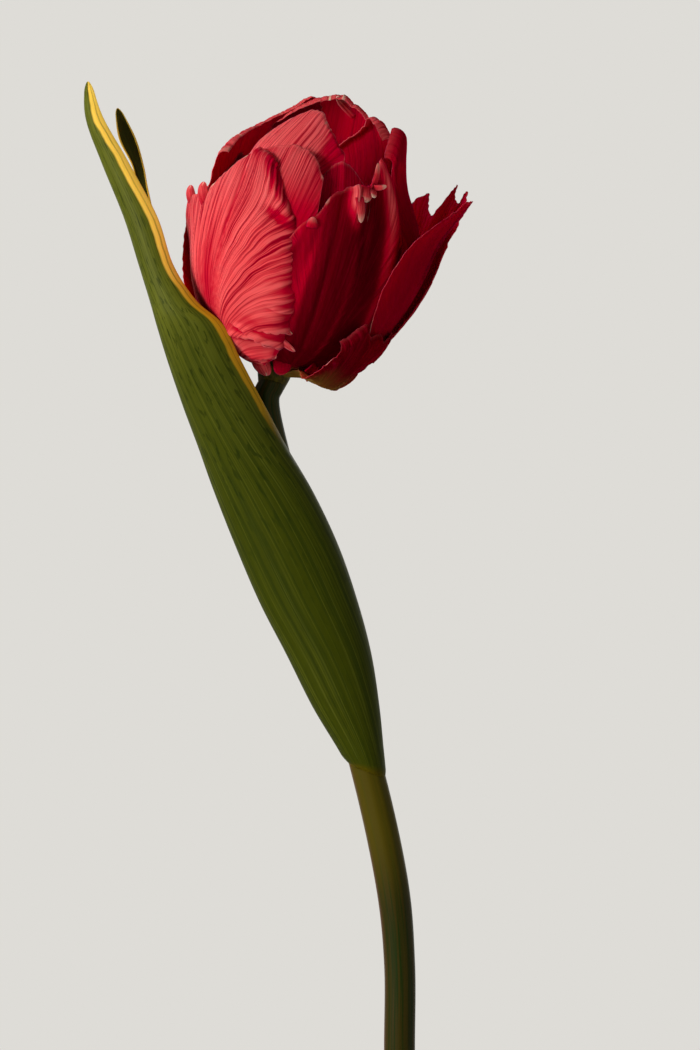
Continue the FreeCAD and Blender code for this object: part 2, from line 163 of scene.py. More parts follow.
PETALS = {
    "outer_petal_left": petal(
        "outer", -50, shares(54, 34), (20, 44, 51, 53, 50, 44, 17), flare=-0.5, outset=0.3,
        top=(0.71, 0.735, 0.76, 0.79, 0.85, 0.92, 0.955, 0.98, 0.985, 0.985, 0.975, 0.955, 0.94),
        ruffle=(0.2, 0.2, 0.7), crimp=(0.03, 0.15, 0.34), teeth=(0.2, 0.2, 0.5),
        roll=(0, 10, 30, 60, 70, 60), roll_width=3.5, side_roll=(0, 75), side_width=6, fan=(1.15, 2.6),
        bumps=((-1, 0.98, 0.3, 0.2, 2.6), (-0.9, 0.6, 0.35, 0.35, -0.8), (0.25, 0.45, 0.22, 0.35, 0.7),
               (0.12, 0.9, 0.035, 0.2, -0.7), (0.70, 0.815, 0.2, 0.03, -0.8),
               (0.62, 0.73, 0.25, 0.05, 0.6), (0.8, 0.35, 0.2, 0.03, -0.6)),
        pleats=((0.235, 0.30, 1.3, 0.07), (0.30, 0.15, 1.6, 0.07), (0.355, 0.25, 1.5, 0.06),
                (0.40, 0.42, 1, 0.05), (0.17, 0.45, 1, 0.06), (0.45, 0.62, 0.6, 0.08)),
        frills=(((28.2, -89, 34.4), (30.6, -87, 40), 2.6, 0, 70),
                ((27.4, -70, 37.4), (29.2, -70, 42.8), 2.8, 0, 50),
                ((19.6, -8, 11.4), (20.8, 11, 8), 1.6), ((22, -4, 14.5), (22.4, 6, 12.4), 2.2),
                ((16.5, -14, 7.4), (16.9, -1, 4.6), 2.6), ((11, -26, 2.8), (7, -14, -1.8), 4.6)),
        patches=((0.80, 0.97, 0.2, 0.1, -0.95), (1, 0.6, 0.09, 1.2, -0.8),
                 (-0.05, 0.48, 0.25, 0.2, -0.36), (0.55, 0.34, 0.4, 0.06, -0.35),
                 (-0.1, 0.65, 0.4, 0.4, -0.14), (0.74, 0.815, 0.15, 0.025, -0.6),
                 (0.9, 0.58, 0.2, 0.12, -0.35), (0.25, 1, 0.25, 0.04, -0.8)),
        pale=0.95, seed=2),
    "outer_petal_front": petal(
        "outer", 20, shares(38, 26), (14, 31, 38.5, 39.5, 38, 34.5, 21), tall=1.06, outset=-0.75,
        top=(0.62, 0.70, 0.765, 0.80, 0.865, 0.89, 0.90, 0.90, 0.89, 0.935, 0.97, 0.985, 0.965),
        ruffle=(0.1, 0.3, 0.2), crimp=(0, 0.12, 0.08), teeth=(0.2, 0.35, 0.15),
        roll=(0, 0, 20, 30, 0, 30, 30), roll_width=1.6, side_roll=(0, 25), side_width=2.5,
        bumps=((0.86, 0.75, 0.15, 0.5, 1.6), (0.52, 0.75, 0.12, 0.4, -0.9), (0.12, 0.96, 0.07, 0.09, 1.9),
               (0.31, 0.86, 0.05, 0.1, -0.6), (0.42, 0.93, 0.05, 0.12, 0.9), (-0.2, 0.85, 0.2, 0.2, -0.5),
               (-0.55, 0.9, 0.12, 0.1, 0.8), (0.28, 0.6, 0.05, 0.4, 0.5), (-0.12, 0.6, 0.06, 0.4, -0.5),
               (-0.38, 0.6, 0.06, 0.4, 0.4)),
        slits=((0.335, 0.075, 0.035),),
        frills=(((26.8, 3, 39.2), (27.8, 2, 43), 2.6, 0.2),
                ((24.5, 34, 52), (24.1, 34.5, 58.6), 1.5, 0.4),
                ((24.5, 33, 52.3), (26.8, 39, 53.6), 1.3, 1.1),
                ((24.6, 33, 52.5), (27.2, 32, 50.4), 1.9, 1.1),
                ((25.5, 29, 52.6), (27.2, 28, 49), 3, 0.8),
                ((27.3, 24, 50), (27.8, 27.5, 43.9), 2, 0.7),
                ((13.5, 6, 4.6), (8.2, 12, -0.6), 4.6), ((14.9, 36, 4.4), (9, 68, -1), 4.4)),
        patches=((0.1, 0.97, 0.1, 0.05, 0.9), (0.16, 0.92, 0.05, 0.05, 0.7), (0.78, 0.8, 0.07, 0.35, 0.42),
                 (0.82, 0.90, 0.1, 0.1, 0.5), (-0.85, 0.97, 0.15, 0.06, 0.5), (-0.45, 0.78, 0.2, 0.3, 0.2)),
        pale=0.03, deep=1, seed=3),
    "outer_petal_flared": petal(
        "flared", 76, (4, 6, 10, 24, 30, 25, 8), (8, 10, 14, 19, 6.5, 3, 3),
        outset=0.6, top=(0.93, 0.97, 1, 1, 1, 0.97, 0.93),
        ruffle=(0.35, 0.2, 0.2), crimp=(0.12, 0, 0.1), teeth=(0.35, 0.2, 0.3), side_roll=(20, 0),
        bumps=((-0.4, 0.6, 0.2, 0.6, -0.5), (0.45, 0.6, 0.3, 0.6, 0.5)), pale=0.05, deep=0.55, seed=4),
    "outer_petal_toothed": petal(
        "toothed", 115, shares(34, 25), shares(33, 21), outset=1.3,
        top=(0.93, 0.97, 1.01, 0.98, 0.945, 0.975, 1, 0.955, 0.87, 0.90, 0.93, 0.90, 0.82),
        ruffle=(0.4, 0.7, 0.6), crimp=(0.2, 0.25, 0.2), teeth=(0.3, 0.45, 0.6),
        pale=0.05, deep=0.8, seed=5),
    "outer_petal_back": petal(
        "outer", 178, shares(44, 22), shares(42, 22), tall=1.02, flare=1.5, outset=0.4,
        ruffle=(0.8, 0.8, 0.8), crimp=(0.15, 0.2, 0.15), teeth=(0.6, 0.7, 0.6), roll=(0, 40, 20, 50, 0),
        bumps=((0, 0.7, 0.06, 0.5, -0.6),), pale=0.6, deep=0.2, seed=6),
    "outer_petal_back_left": petal(
        "outer", -126, shares(34, 14), (10, 22, 27, 28, 28, 26, 2),
        tall=0.84, flare=0.4, swell=0.3, outset=1.1,
        ruffle=(0.6, 0.6, 0.4), crimp=(0.1, 0.2, 0.1), teeth=(0.4, 0.6, 0.3), pale=0.9, deep=0.2, seed=7),
    "outer_petal_low": petal(
        "low", 56, (26, 26, 30, 32, 28, 22, 13), (12, 12, 11, 10, 10, 24, 26),
        flare=1, top=(0.86, 0.92, 0.99, 1, 0.97, 0.92, 0.93, 0.95, 0.92, 0.90, 0.93, 0.95, 0.90),
        ruffle=(0.4, 0.8, 0.4), crimp=(0.1, 0.2, 0.1), teeth=(0.3, 0.3, 0.6),
        roll=(100, 90, 40, 60, 50, 30, 60), roll_width=2.4, side_roll=(0, 20),
        bumps=((-1, 0.40, 0.6, 0.24, -3.3),), pale=0, deep=1, green=(0.75, 0.35, 0.6), seed=8),
    "middle_petal_front": petal(
        "middle", -22, shares(36, 28), shares(28, 25), tall=0.86, flare=3, swell=-0.8,
        top=(0.95, 0.975, 0.99, 1, 0.995, 0.975, 0.92),
        ruffle=(0, 0.2, 0.1), crimp=(0, 0.06, 0.05), teeth=(0, 0.15, 0.1), roll=(10, 20, 30, 30, 10),
        roll_width=2.5, pale=0.16, patches=((0.1, 1, 0.9, 0.16, 0.85),), seed=9),
    "middle_petal_right": petal(
        "pinched", 90, (13, 28, 30, 29, 29, 32, 30), shares(36, 20),
        top=(0.90, 0.97, 1, 1, 0.98, 0.93, 0.84),
        ruffle=(0.2, 0.2, 0.3), crimp=(0.05, 0.1, 0.1), teeth=(0.1, 0.15, 0.3), roll=(100, 110, 90, 80, 60),
        roll_width=5, side_roll=(45, 0), side_width=2.2, pale=0.12, deep=0.8, seed=10),
    "middle_petal_back_left": petal(
        "middle", -140, shares(42, 32), shares(46, 36), flare=0.5, outset=0.8,
        top=(0.935, 0.985, 0.96, 0.92, 0.875, 0.835, 0.785),
        ruffle=(0.2, 0.4, 0.4), crimp=(0.05, 0.15, 0.15), teeth=(0.2, 0.35, 0.4),
        roll=(50, 70, 80, 70, 90, 110), roll_width=2.6, pale=0.6, deep=0.1, seed=11),
    "inner_petal_front": petal(
        "inner", 18, shares(32, 20), shares(32, 24), tall=0.83, flare=7, swell=0.5,
        top=(0.84, 0.945, 0.99, 1, 0.99, 0.95, 0.86),
        ruffle=(0.1, 0.2, 0.1), crimp=(0, 0.06, 0), teeth=(0, 0.15, 0.1),
        roll=(40, 20, 10, 10, 10), side_roll=(95, 0), side_width=2.2,
        patches=((-1, 0.8, 0.12, 0.4, 0.7),), pale=0.3, deep=0.2, seed=12),
    "inner_petal_left": petal(
        "inner", -48, shares(50, 40), shares(50, 74), tall=0.99, flare=-2, outset=-0.4,
        top=(0.86, 0.95, 0.985, 1, 1, 0.97, 0.90),
        ruffle=(0, 0.2, 0.5), crimp=(0, 0.08, 0.25), teeth=(0.1, 0.2, 0.4), roll=(10, 20, 20, 30, 60),
        fan=(1.3, 2.4), pale=0.95, patches=((0.88, 0.9, 0.25, 0.4, -0.9),), seed=13),
    "inner_petal_back": petal(
        "inner", 178, shares(40, 46), shares(40, 44), tall=1.02, flare=5.5, swell=0.6, outset=0.5,
        top=(0.88, 0.95, 0.985, 1, 0.985, 0.95, 0.88),
        ruffle=(0.2, 0.3, 0.2), crimp=(0.05, 0.12, 0.05), teeth=(0.2, 0.3, 0.2),
        roll=(60, 100, 130, 110, 60), roll_width=3.2,
        frills=(((18.2, 163, 63.7), (13.2, 181, 67.9), 2.6, 0.4),), pale=0.6, deep=0.1, seed=14),
    "inner_petal_back_right": petal(
        "inner", 136, shares(36, 20), shares(38, 36), tall=0.985, flare=6.5, swell=-1.6, outset=-0.9,
        top=(0.95, 0.985, 1, 1, 0.965, 0.92, 0.86),
        ruffle=(0.2, 0.3, 0.2), crimp=(0.05, 0.12, 0.05), teeth=(0.2, 0.25, 0.2),
        roll=(120, 130, 100, 60, 60), roll_width=3.6, pale=0.55, deep=0.15, seed=15),
}

# Leaves as level sections of a folded sheet, in mm: the section's height, its leftmost and rightmost
# x, its centre's y, its half depth, and the angles in degrees where it starts and ends, from +X (0)
# through the back (90) and the left (180) to the viewer's side (270)
FRONT_LEAF = (
    (117.5, -12.1, -3.6, 0, 4.25, 86, 428), (123, -14.8, -4.3, 0, 5, 83, 424),
    (134, -21.4, -5.4, 0, 6.2, 78, 413), (147, -27.9, -7.4, 0, 7, 74, 400),
    (160, -34.6, -10.8, 0, 7.4, 72, 388), (174, -40.6, -15.6, -0.4, 7.6, 72, 377),
    (188, -46.1, -22, -1.1, 7.5, 74, 364), (199, -50, -28.4, -2.8, 7.2, 77, 350),
    (209, -53.7, -33.7, -5.6, 6.6, 79, 336), (220, -57.4, -39.4, -10.6, 5.8, 79, 322),
    (229, -60.1, -43.9, -15.2, 5.2, 77, 314), (235, -61.8, -50.6, -14.6, 5, 76, 311),
    (244, -64.6, -56.4, -11.6, 4.6, 74, 307), (256, -68.4, -60.4, -8.4, 4, 71, 303),
    (270, -74.1, -67.8, -5.2, 3.3, 69, 300), (281, -78.1, -74, -3.6, 2.2, 70, 295),
    (290, -78.6, -77, -2.6, 0.9, 75, 288),
)
BACK_LEAF = (
    (190, -32.8, -25.4, 0, 3.7, -5, 185), (196, -35.3, -27, 0.9, 4.3, 2, 178),
    (202, -36.6, -29.6, 2.2, 4.6, 8, 165), (208, -42, -32.2, 3.9, 4.6, 15, 158),
    (216, -51.6, -38.6, 4.8, 4.4, 25, 152), (226, -57.2, -46.5, 4.8, 4.2, 32, 150),
    (240, -61.6, -55.2, 4.2, 3.6, 36, 148), (254, -65.2, -60.6, 3.4, 3, 40, 145),
    (263, -65.8, -62.9, 2.8, 2.4, 42, 142), (269, -66.8, -64, 2.4, 2, 45, 140),
    (276, -70.2, -66, 2, 1.7, 48, 138), (283.5, -71.2, -69.8, 1.6, 1, 50, 132),
)
LEAF_THICKNESS = 0.8
# the leaf's lower edge runs askew: mm of drop per mm to the right, fading over this share of the leaf
FOOT_SLANT = 0.35
FOOT_SLANT_ROWS = 0.06
# share of a leaf's length over which its tip rounds off, and the girth in mm below which its yellow
# margin narrows
LEAF_TIP = 0.02
MARGIN_GIRTH = 11.0
# mm from a leaf's margin over which it thickens
LEAF_MARGIN = 3.0
LEAF_ROWS = 240
LEAF_COLUMNS = 90

# Stem in mm: x, z and radius up its centre line, from its cut end to the flower
STEM_LINE = (
    (0, 0, 3.875), (0, 24, 3.875), (0, 48, 3.875), (0, 70, 3.875), (-2.1, 91, 4.1),
    (-8.6, 120, 4.05), (-18.4, 151.5, 3.85), (-27.6, 184.5, 3.6), (-33.2, 208, 3.35),
    (-31.75, 215.3, 3.35),
)
STEM_RINGS = 220
STEM_SEGMENTS = 64
# fine ridges along the stem: how many, and how high as a share of its radius
STEM_RIDGES = 11
STEM_RIDGE = 0.008

# Colours as they look in plain light, as red, green and blue out of 255
PETAL_RED = (184, 0, 36)
# dark red for the petals in shade: partly their own colour, partly painted shade
PETAL_DEEP_AND_SHADE = (84, 0, 9)
PETAL_VEIN = (120, 0, 24)
# coral bloom: the petals' own streaks, and a painted satin sheen
PETAL_BLOOM_AND_SHEEN = (255, 106, 104)
# the inner face: a deeper red, partly its own colour and partly painted shade inside the cup
PETAL_INSIDE = (164, 0, 30)
PETAL_CREAM = (250, 206, 180)
PETAL_GREEN = (122, 104, 40)
LEAF_GREEN = (54, 61, 0)
LEAF_DASH = (26, 40, 0)
# waxy bloom, also used as painted light on the upper leaf
LEAF_BLOOM_AND_LIGHT = (106, 111, 34)
LEAF_YELLOW = (255, 206, 84)
# amber of the lower margin: partly its own colour, partly painted shade
LEAF_AMBER = (188, 146, 28)
LEAF_INSIDE = (42, 42, 6)
STEM_OLIVE = (52, 44, 4)
# a red-brown painted highlight for the stem's lit left edge
STEM_PAINTED_HIGHLIGHT = (104, 62, 40)
STEM_YELLOW = (80, 70, 0)
ANTHER = (52, 28, 40)
FILAMENT = (120, 60, 70)
OVARY = (176, 182, 104)
STIGMA = (226, 208, 130)
BACKGROUND = (222, 220, 215)

# how much of a noise's fine detail shows
NOISE_ROUGHNESS = 0.55

# Pieces inside and under the flower: colour, second colour, noise scale, roughness and bump
INNER_LOOKS = {
    "receptacle": (STEM_OLIVE, STEM_YELLOW, 900, 0.5, 0.3),
    "ovary": (OVARY, STEM_OLIVE, 700, 0.45, 0.3),
    "stigma": (STIGMA, PETAL_CREAM, 2500, 0.7, 0.8),
    "filament": (FILAMENT, PETAL_VEIN, 1500, 0.5, 0.3),
    "anther": (ANTHER, FILAMENT, 2600, 0.85, 0.8),
}

# Studio: half the floor's width in metres, and the distances from the stem's foot in metres between
# which it fades into the background
FLOOR_HALF = 60.0
FLOOR_FADE = (0.25, 1.0)
# the camera sees things this far away, in metres
FAR_CLIP = 200
# how strongly the surroundings light the flower, where 1 is the background as it is seen
FILL_LIGHT = 0.13
# each lamp: name, place in metres, size in metres, power in watts, colour
LAMPS = (
    ("key", (-1.15, -0.90, 0.62), 0.5, 23.0, (1.0, 0.96, 0.92)),
    ("front_fill", (0.5, -1.6, 0.8), 1.2, 0.9, (1.0, 0.98, 0.97)),
    ("back", (0.6, 1.4, 0.9), 1.0, 4.5, (1.0, 0.98, 0.96)),
)


def linear(colour):
    """A colour out of 255 as the shader's red, green, blue and alpha."""
    return tuple(((c / 255 + 0.055) / 1.055) ** 2.4 if c > 10 else c / 255 / 12.92 for c in colour) + (1.0,)


def blended(colour, other, share):
    """A colour part of the way from one to another."""
    return tuple(a + (b - a) * share for a, b in zip(colour, other))


def through(values, t):
    """A smooth curve through evenly spaced values, at t from 0 to 1."""
    values = np.asarray(values, float)
    last = len(values) - 1
    x = np.clip(np.asarray(t, float), 0, 1) * last
    i = np.minimum(x.astype(int), last - 1)
    f = x - i
    b = values[i]
    c = values[i + 1]
    a = np.where(i > 0, values[np.maximum(i - 1, 0)], 2 * values[0] - values[1])
    d = np.where(i + 2 <= last, values[np.minimum(i + 2, last)], 2 * values[last] - values[last - 1])
    return b + 0.5 * f * (c - a + f * (2 * a - 5 * b + 4 * c - d + f * (3 * b - a - 3 * c + d)))


def smooth(low, high, x):
    """0 below low, 1 above high, and a smooth rise between."""
    t = np.clip((x - low) / (high - low), 0, 1)
    return t * t * (3 - 2 * t)


def cosine(degrees):
    """The cosine of an angle in degrees."""
    return np.cos(np.radians(degrees))


def crowded(t, amount):
    """Evenly spaced values from 0 or -1 to 1, drawn closer together near the ends at 1 and -1."""
    return t * (1 + amount - amount * t * t)


def grids(down, across):
    """Values down a grid's rows and values across its columns, each as a whole grid."""
    return np.meshgrid(down, across, indexing="ij")


def spot(u, v, place_u, place_v, half_u, half_v):
    """1 at a place on a petal, fading round it over half widths in u and v."""
    return np.exp(-((u - place_u) / half_u) ** 2 - ((v - place_v) / half_v) ** 2)


def unit(vectors):
    """The vectors at length 1."""
    return vectors / np.maximum(np.linalg.norm(vectors, axis=-1, keepdims=True), 1e-12)


def in_flower(radius, azimuth, height):
    """Places in the flower from radius, angle in degrees and height on its axis, mm to metres."""
    a = np.radians(azimuth)[..., None]
    outwards = np.cos(a) * FRONT + np.sin(a) * RIGHT
    return HEAD + MM * (radius[..., None] * outwards + height[..., None] * UP)


def wave(x, rng, strands, slowest):
    """A smooth irregular wave between about -1 and 1, with its main period near 1 / slowest."""
    total = np.zeros_like(x)
    for k in range(strands):
        rate = slowest * (1 + 0.7 * k + 0.35 * rng.random())
        total += np.sin(2 * math.pi * (rate * x + rng.random())) / (1 + 0.6 * k)
    return total / 2.0


def cup(p, rise):
    """Radius and height on a petal's side profile at this share of its length."""
    radii, heights = WHORLS[p["whorl"]]
    radius = through(radii, rise) + p["swell"] * np.sin(math.pi * rise) + p["flare"] * rise ** 3
    return radius, heights[0] + (through(heights, rise) - heights[0]) * p["tall"]


def profile_length(p):
    """Length in mm of a petal's middle line."""
    radius, height = cup(p, np.linspace(0, 1, PROFILE_POINTS))
    return float(np.hypot(np.diff(radius), np.diff(height)).sum())


def edge_angle(p, rise, u):
    """How far round a petal reaches at this share of its length, on u's side, notches included."""
    sides = []
    for side, widths in enumerate((p["left"], p["right"])):
        rng = np.random.default_rng(p["seed"] * 11 + side)
        waves = wave(rise, rng, strands=5, slowest=5)
        notch = p["teeth"][2 * side] * waves * smooth(*NOTCHES_FROM, rise)
        sides.append(through(widths, rise) * (1 - notch / USUAL_REACH))
    return np.where(u < 0, sides[0], sides[1])


def rim_rise(p, u):
    """How far up the rim reaches at u from -1 to 1, notches and slits included."""
    rng = np.random.default_rng(p["seed"] * 7)
    waves = wave(u, rng, strands=5, slowest=1.8)
    rim = through(p["top"], (u + 1) / 2) - p["teeth"][1] * waves / profile_length(p)
    for place, depth, width in p["slits"]:
        rim = rim - depth * np.exp(-((u - place) / width) ** 2)
    return rim


def on_cup(p, u, rise):
    """Places on a petal's middle surface before it rolls."""
    radius, height = cup(p, rise)
    ahead = cup(p, np.minimum(rise + PROFILE_STEP, 1))
    behind = cup(p, np.maximum(rise - PROFILE_STEP, 0))
    run = ahead[0] - behind[0]
    climb = ahead[1] - behind[1]
    slope = np.hypot(run, climb)
    out = np.minimum(1, rise / GATHER) * p["outset"]
    angle = p["azimuth"] + u * edge_angle(p, rise, u)
    return in_flower(radius + out * climb / slope, angle, height - out * run / slope)


def turned_margin(base, tangent, sideways, run, turn, width):
    """Places run metres past a margin's start, where the sheet turns in to the flower's middle.

    turn: degrees over the whole width in metres; sideways: the direction along the margin.
    """
    inwards = unit(np.cross(sideways, tangent))
    inwards = inwards * np.where((inwards * (FLOWER_MIDDLE - base)).sum(-1) < 0, -1, 1)[..., None]
    bend = np.radians(np.maximum(turn, 0.05)) / width
    along = np.sin(bend * run) / bend
    across = (1 - np.cos(bend * run)) / bend
    return base + tangent * along[..., None] + inwards * across[..., None]


def reach_of_roll(turn, width):
    """How far a rolled margin still reaches past its start: less than its width."""
    angle = np.radians(np.maximum(turn, 0.05))
    return width * np.where(angle < math.pi / 2, np.sin(angle), 1) / angle


def with_rim(p, u, v):
    """Places on a petal with its rim turned in; the turned rim reaches as high as the plain one."""
    length = profile_length(p)
    turn = through(p["roll"], (u + 1) / 2)
    start = 1 - reach_of_roll(turn, p["roll_width"]) / length
    foot = np.minimum(v, start)

    def flat(uu, vv):
        return on_cup(p, uu, vv * rim_rise(p, uu))

    base = flat(u, foot)
    above_claw = np.maximum(foot, STEP)
    tangent = unit(flat(u, above_claw) - flat(u, above_claw - STEP))
    sideways = unit(flat(np.clip(u + STEP, -1, 1), foot) - flat(np.clip(u - STEP, -1, 1), foot))
    run = np.maximum(v - start, 0) / (1 - start) * p["roll_width"] * MM
    return turned_margin(base, tangent, sideways, run, turn, p["roll_width"] * MM)


def petal_sheet(p):
    """The middle surface of a petal as a grid of places, and its coordinates u and v."""
    v, u = grids(crowded(np.linspace(0, 1, PETAL_ROWS), ROW_CROWDING),
                 crowded(np.linspace(-1, 1, PETAL_COLUMNS), COLUMN_CROWDING))
    places = with_rim(p, u, v)
    radius, _ = cup(p, np.clip(v, 0, 1))
    reach = np.maximum(np.radians(edge_angle(p, v, u)) * radius, LEAST_REACH)
    for side, turn in zip((-1, 1), p["side_roll"]):
        if not turn:
            continue
        turn = turn * smooth(*ROLLS_FROM, v)
        width = np.minimum(p["side_width"], LARGEST_ROLL * reach)
        start = 1 - reach_of_roll(turn, width) / reach
        foot = side * np.minimum(side * u, start)
        base = with_rim(p, foot, v)
        tangent = unit(base - with_rim(p, foot - side * STEP, v))
        above = with_rim(p, foot, np.minimum(v + STEP, 1))
        below = with_rim(p, foot, np.maximum(v - STEP, 0))
        upwards = unit(above - below)
        run = np.maximum(side * u - start, 0) / (1 - start) * width * MM
        turned = turned_margin(base, tangent, upwards, run, turn, width * MM)
        places = np.where((side * u > start)[..., None], turned, places)
    return places, u, v


def grid_normals(places):
    """The direction square to a grid of places, away from the flower's axis at its middle."""
    down = np.gradient(places, axis=0)
    across = np.gradient(places, axis=1)
    normals = unit(np.cross(across, down))
    row = places.shape[0] // 2
    column = places.shape[1] // 2
    middle = places[row, column] - HEAD
    outwards = middle - (middle @ UP) * UP
    return normals if normals[row, column] @ outwards > 0 else -normals


def vein_label(p, u, v):
    """A coordinate that is constant along each vein: veins rise by the middle, then turn to the margin."""
    power = np.where(u < 0, p["fan"][0], p["fan"][1])
    return np.sign(u) * np.arctan2(np.abs(u), np.maximum(v, 1e-4) ** power)


def relief(p, u, v, veins):
    """How far in mm a petal stands out from its plain surface: ruffles, ridges, swellings and pleats."""
    rng = np.random.default_rng(p["seed"])
    round_margin = np.arctan2(v - 0.35, u * 0.8) / (2 * math.pi)
    waves = wave(round_margin, rng, strands=4, slowest=5.0)
    ridges = wave(veins, rng, strands=4, slowest=14.0)
    ridges = ridges * (0.7 + 0.3 * wave(veins, rng, strands=2, slowest=1.5))
    total = VEIN_HEIGHT * wave(veins, rng, strands=3, slowest=9.0) * smooth(*VEINS_FROM, v)
    for k, towards in enumerate((-u, v, u)):
        margin = np.clip(towards, 0, 1)
        above_claw = smooth(*RUFFLES_FROM, v) if k != 1 else 1.0
        total += p["ruffle"][k] * margin ** RUFFLE_FADE[k] * (0.4 + waves) * above_claw
        total += p["crimp"][k] * margin ** CRIMP_FADE * ridges * above_claw
    for *place, height in p["bumps"]:
        total += height * spot(u, v, *place)
    # a pleat is steep at its wavy lip and falls off above it
    for lip, start, height, length in p["pleats"]:
        curve = lip + 0.03 * np.sin(3 * u + 40 * lip)
        lift = np.clip((v - curve) / length, 0, 1)
        fold = smooth(0, 0.06, lift) * (1 - lift) ** 1.6
        total += height * fold * smooth(start, start + 0.35, u) * (1 - 0.5 * smooth(0.9, 1.0, u))
    return total


def closed_sheet(places, normals, thickness):
    """Points and faces of a thin closed sheet: two faces half the thickness to each side, and the edge."""
    rows, columns = places.shape[:2]
    outer = (places + normals * (thickness / 2)[..., None]).reshape(-1, 3)
    inner = (places - normals * (thickness / 2)[..., None]).reshape(-1, 3)
    index = np.arange(rows * columns).reshape(rows, columns)
    quads = np.stack([index[:-1, :-1], index[:-1, 1:], index[1:, 1:], index[1:, :-1]], -1).reshape(-1, 4)
    loop = np.concatenate([index[0, :], index[1:, -1], index[-1, -2::-1], index[-2:0:-1, 0]])
    after = np.roll(loop, -1)
    shift = rows * columns
    rim = np.stack([loop, after, after + shift, loop + shift], -1)
    faces = np.concatenate([quads, quads[:, ::-1] + shift, rim[:, ::-1]])
    a, b, c = outer[quads[len(quads) // 2][:3]]
    if np.cross(b - a, c - a) @ normals[rows // 2, columns // 2] < 0:
        faces = faces[:, ::-1]
    return np.concatenate([outer, inner]), faces


def sheets_piece(name, sheets):
    """One piece from sheets given as (places, normals, thickness, attributes, inner face).

    The inner face is 1 where it looks as the outer one does, and 0 where it has the inside's colours.
    """
    points = []
    faces = []
    values = {}
    count = 0
    for places, normals, thickness, attributes, inner_face in sheets:
        sheet_points, sheet_faces = closed_sheet(places, normals, thickness)
        points.append(sheet_points)
        faces.append(sheet_faces + count)
        count += len(sheet_points)
        half = len(sheet_points) // 2
        for label, grid in attributes.items():
            values.setdefault(label, []).append(np.tile(grid.reshape(-1), 2))
        values.setdefault("outside", []).append(np.repeat([1.0, inner_face], half))
    piece = mesh_piece(name, np.concatenate(points), np.concatenate(faces))
    for label, parts in values.items():
        set_attribute(piece, label, np.concatenate(parts))
    return piece


def mesh_piece(name, points, faces, flat_faces=()):
    """A mesh object from points and smooth faces, and flat ones such as a tube's ends."""
    mesh = bpy.data.meshes.new(name)
    every_face = faces.tolist() + list(flat_faces)
    mesh.from_pydata(points.tolist(), [], every_face)
    mesh.polygons.foreach_set("use_smooth", np.arange(len(every_face)) < len(faces))
    mesh.update()
    piece = bpy.data.objects.new(name, mesh)
    bpy.context.scene.collection.objects.link(piece)
    return piece


def set_attribute(piece, label, values):
    """One number per point, for the materials to read."""
    attribute = piece.data.attributes.new(label, "FLOAT", "POINT")
    attribute.data.foreach_set("value", values.astype(np.float32))


class Nodes:
    """A short way to write the nodes of a material or a world."""

    def __init__(self, owner, shader="Principled BSDF"):
        owner.use_nodes = True
        self.owner = owner
        self.tree = owner.node_tree
        self.shader = self.tree.nodes[shader]

    def add(self, kind, inputs=(), **settings):
        """A new shader node of this kind, with these settings and inputs."""
        node = self.tree.nodes.new("ShaderNode" + kind)
        for key, value in settings.items():
            setattr(node, key, value)
        for key, value in dict(inputs).items():
            self.put(node.inputs[key], value)
        return node

    def put(self, socket, value):
        """Links a socket, or sets it to a number or to a colour out of 255."""
        if isinstance(value, bpy.types.NodeSocket):
            self.tree.links.new(value, socket)
        else:
            socket.default_value = linear(value) if isinstance(value, tuple) else value

    def attribute(self, label):
        """A number that the mesh carries at each point."""
        return self.add("Attribute", attribute_name=label).outputs["Fac"]

    def math(self, operation, a, b=0.0):
        """One sum, by the name that its node has."""
        return self.add("Math", {0: a, 1: b}, operation=operation).outputs[0]

    def times(self, value, *factors):
        """The product of two or more values."""
        for factor in factors:
            value = self.math("MULTIPLY", value, factor)
        return value

    def span(self, value, low, high, to_low=0.0, to_high=1.0):
        """The value stretched from one range to another, clamped and smoothed."""
        inputs = {0: value, 1: low, 2: high, 3: to_low, 4: to_high}
        return self.add("MapRange", inputs, interpolation_type="SMOOTHSTEP").outputs["Result"]

    def vector(self, x, y, z):
        """Three numbers as one place."""
        return self.add("CombineXYZ", {0: x, 1: y, 2: z}).outputs[0]

    def noise(self, place, scale, detail):
        """Soft noise between 0 and 1."""
        inputs = {"Vector": place, "Scale": scale, "Detail": detail, "Roughness": NOISE_ROUGHNESS}
        return self.add("TexNoise", inputs).outputs["Fac"]

    def grain(self, across, along, rates, layer, detail=3.0):
        """Noise drawn out along a sheet, from how fast it changes across and along, and its layer."""
        place = self.vector(self.times(across, rates[0]), self.times(along, rates[1]), layer)
        return self.noise(place, 1.0, detail)

    def mix(self, share, a, b):
        """One colour turned to another by this share."""
        return self.add("Mix", {0: share, 6: a, 7: b}, data_type="RGBA", blend_type="MIX").outputs[2]

    def bump(self, height, strength, distance):
        """Fine relief in the surface's shading, up to a distance in metres."""
        node = self.add("Bump", {"Strength": strength, "Distance": distance, "Height": height})
        self.put(self.shader.inputs["Normal"], node.outputs[0])

    def glow_through(self, weight, radius, scale):
        """Light that falls on one face shows through the other, over a distance in metres."""
        self.shader.inputs["Subsurface Weight"].default_value = weight
        self.shader.inputs["Subsurface Radius"].default_value = radius
        self.shader.inputs["Subsurface Scale"].default_value = scale

    def finish(self, colour, roughness, specular):
        """Sets the shader's colour and gloss."""
        self.put(self.shader.inputs["Base Color"], colour)
        self.put(self.shader.inputs["Roughness"], roughness)
        self.shader.inputs["Specular IOR Level"].default_value = specular
        return self.owner


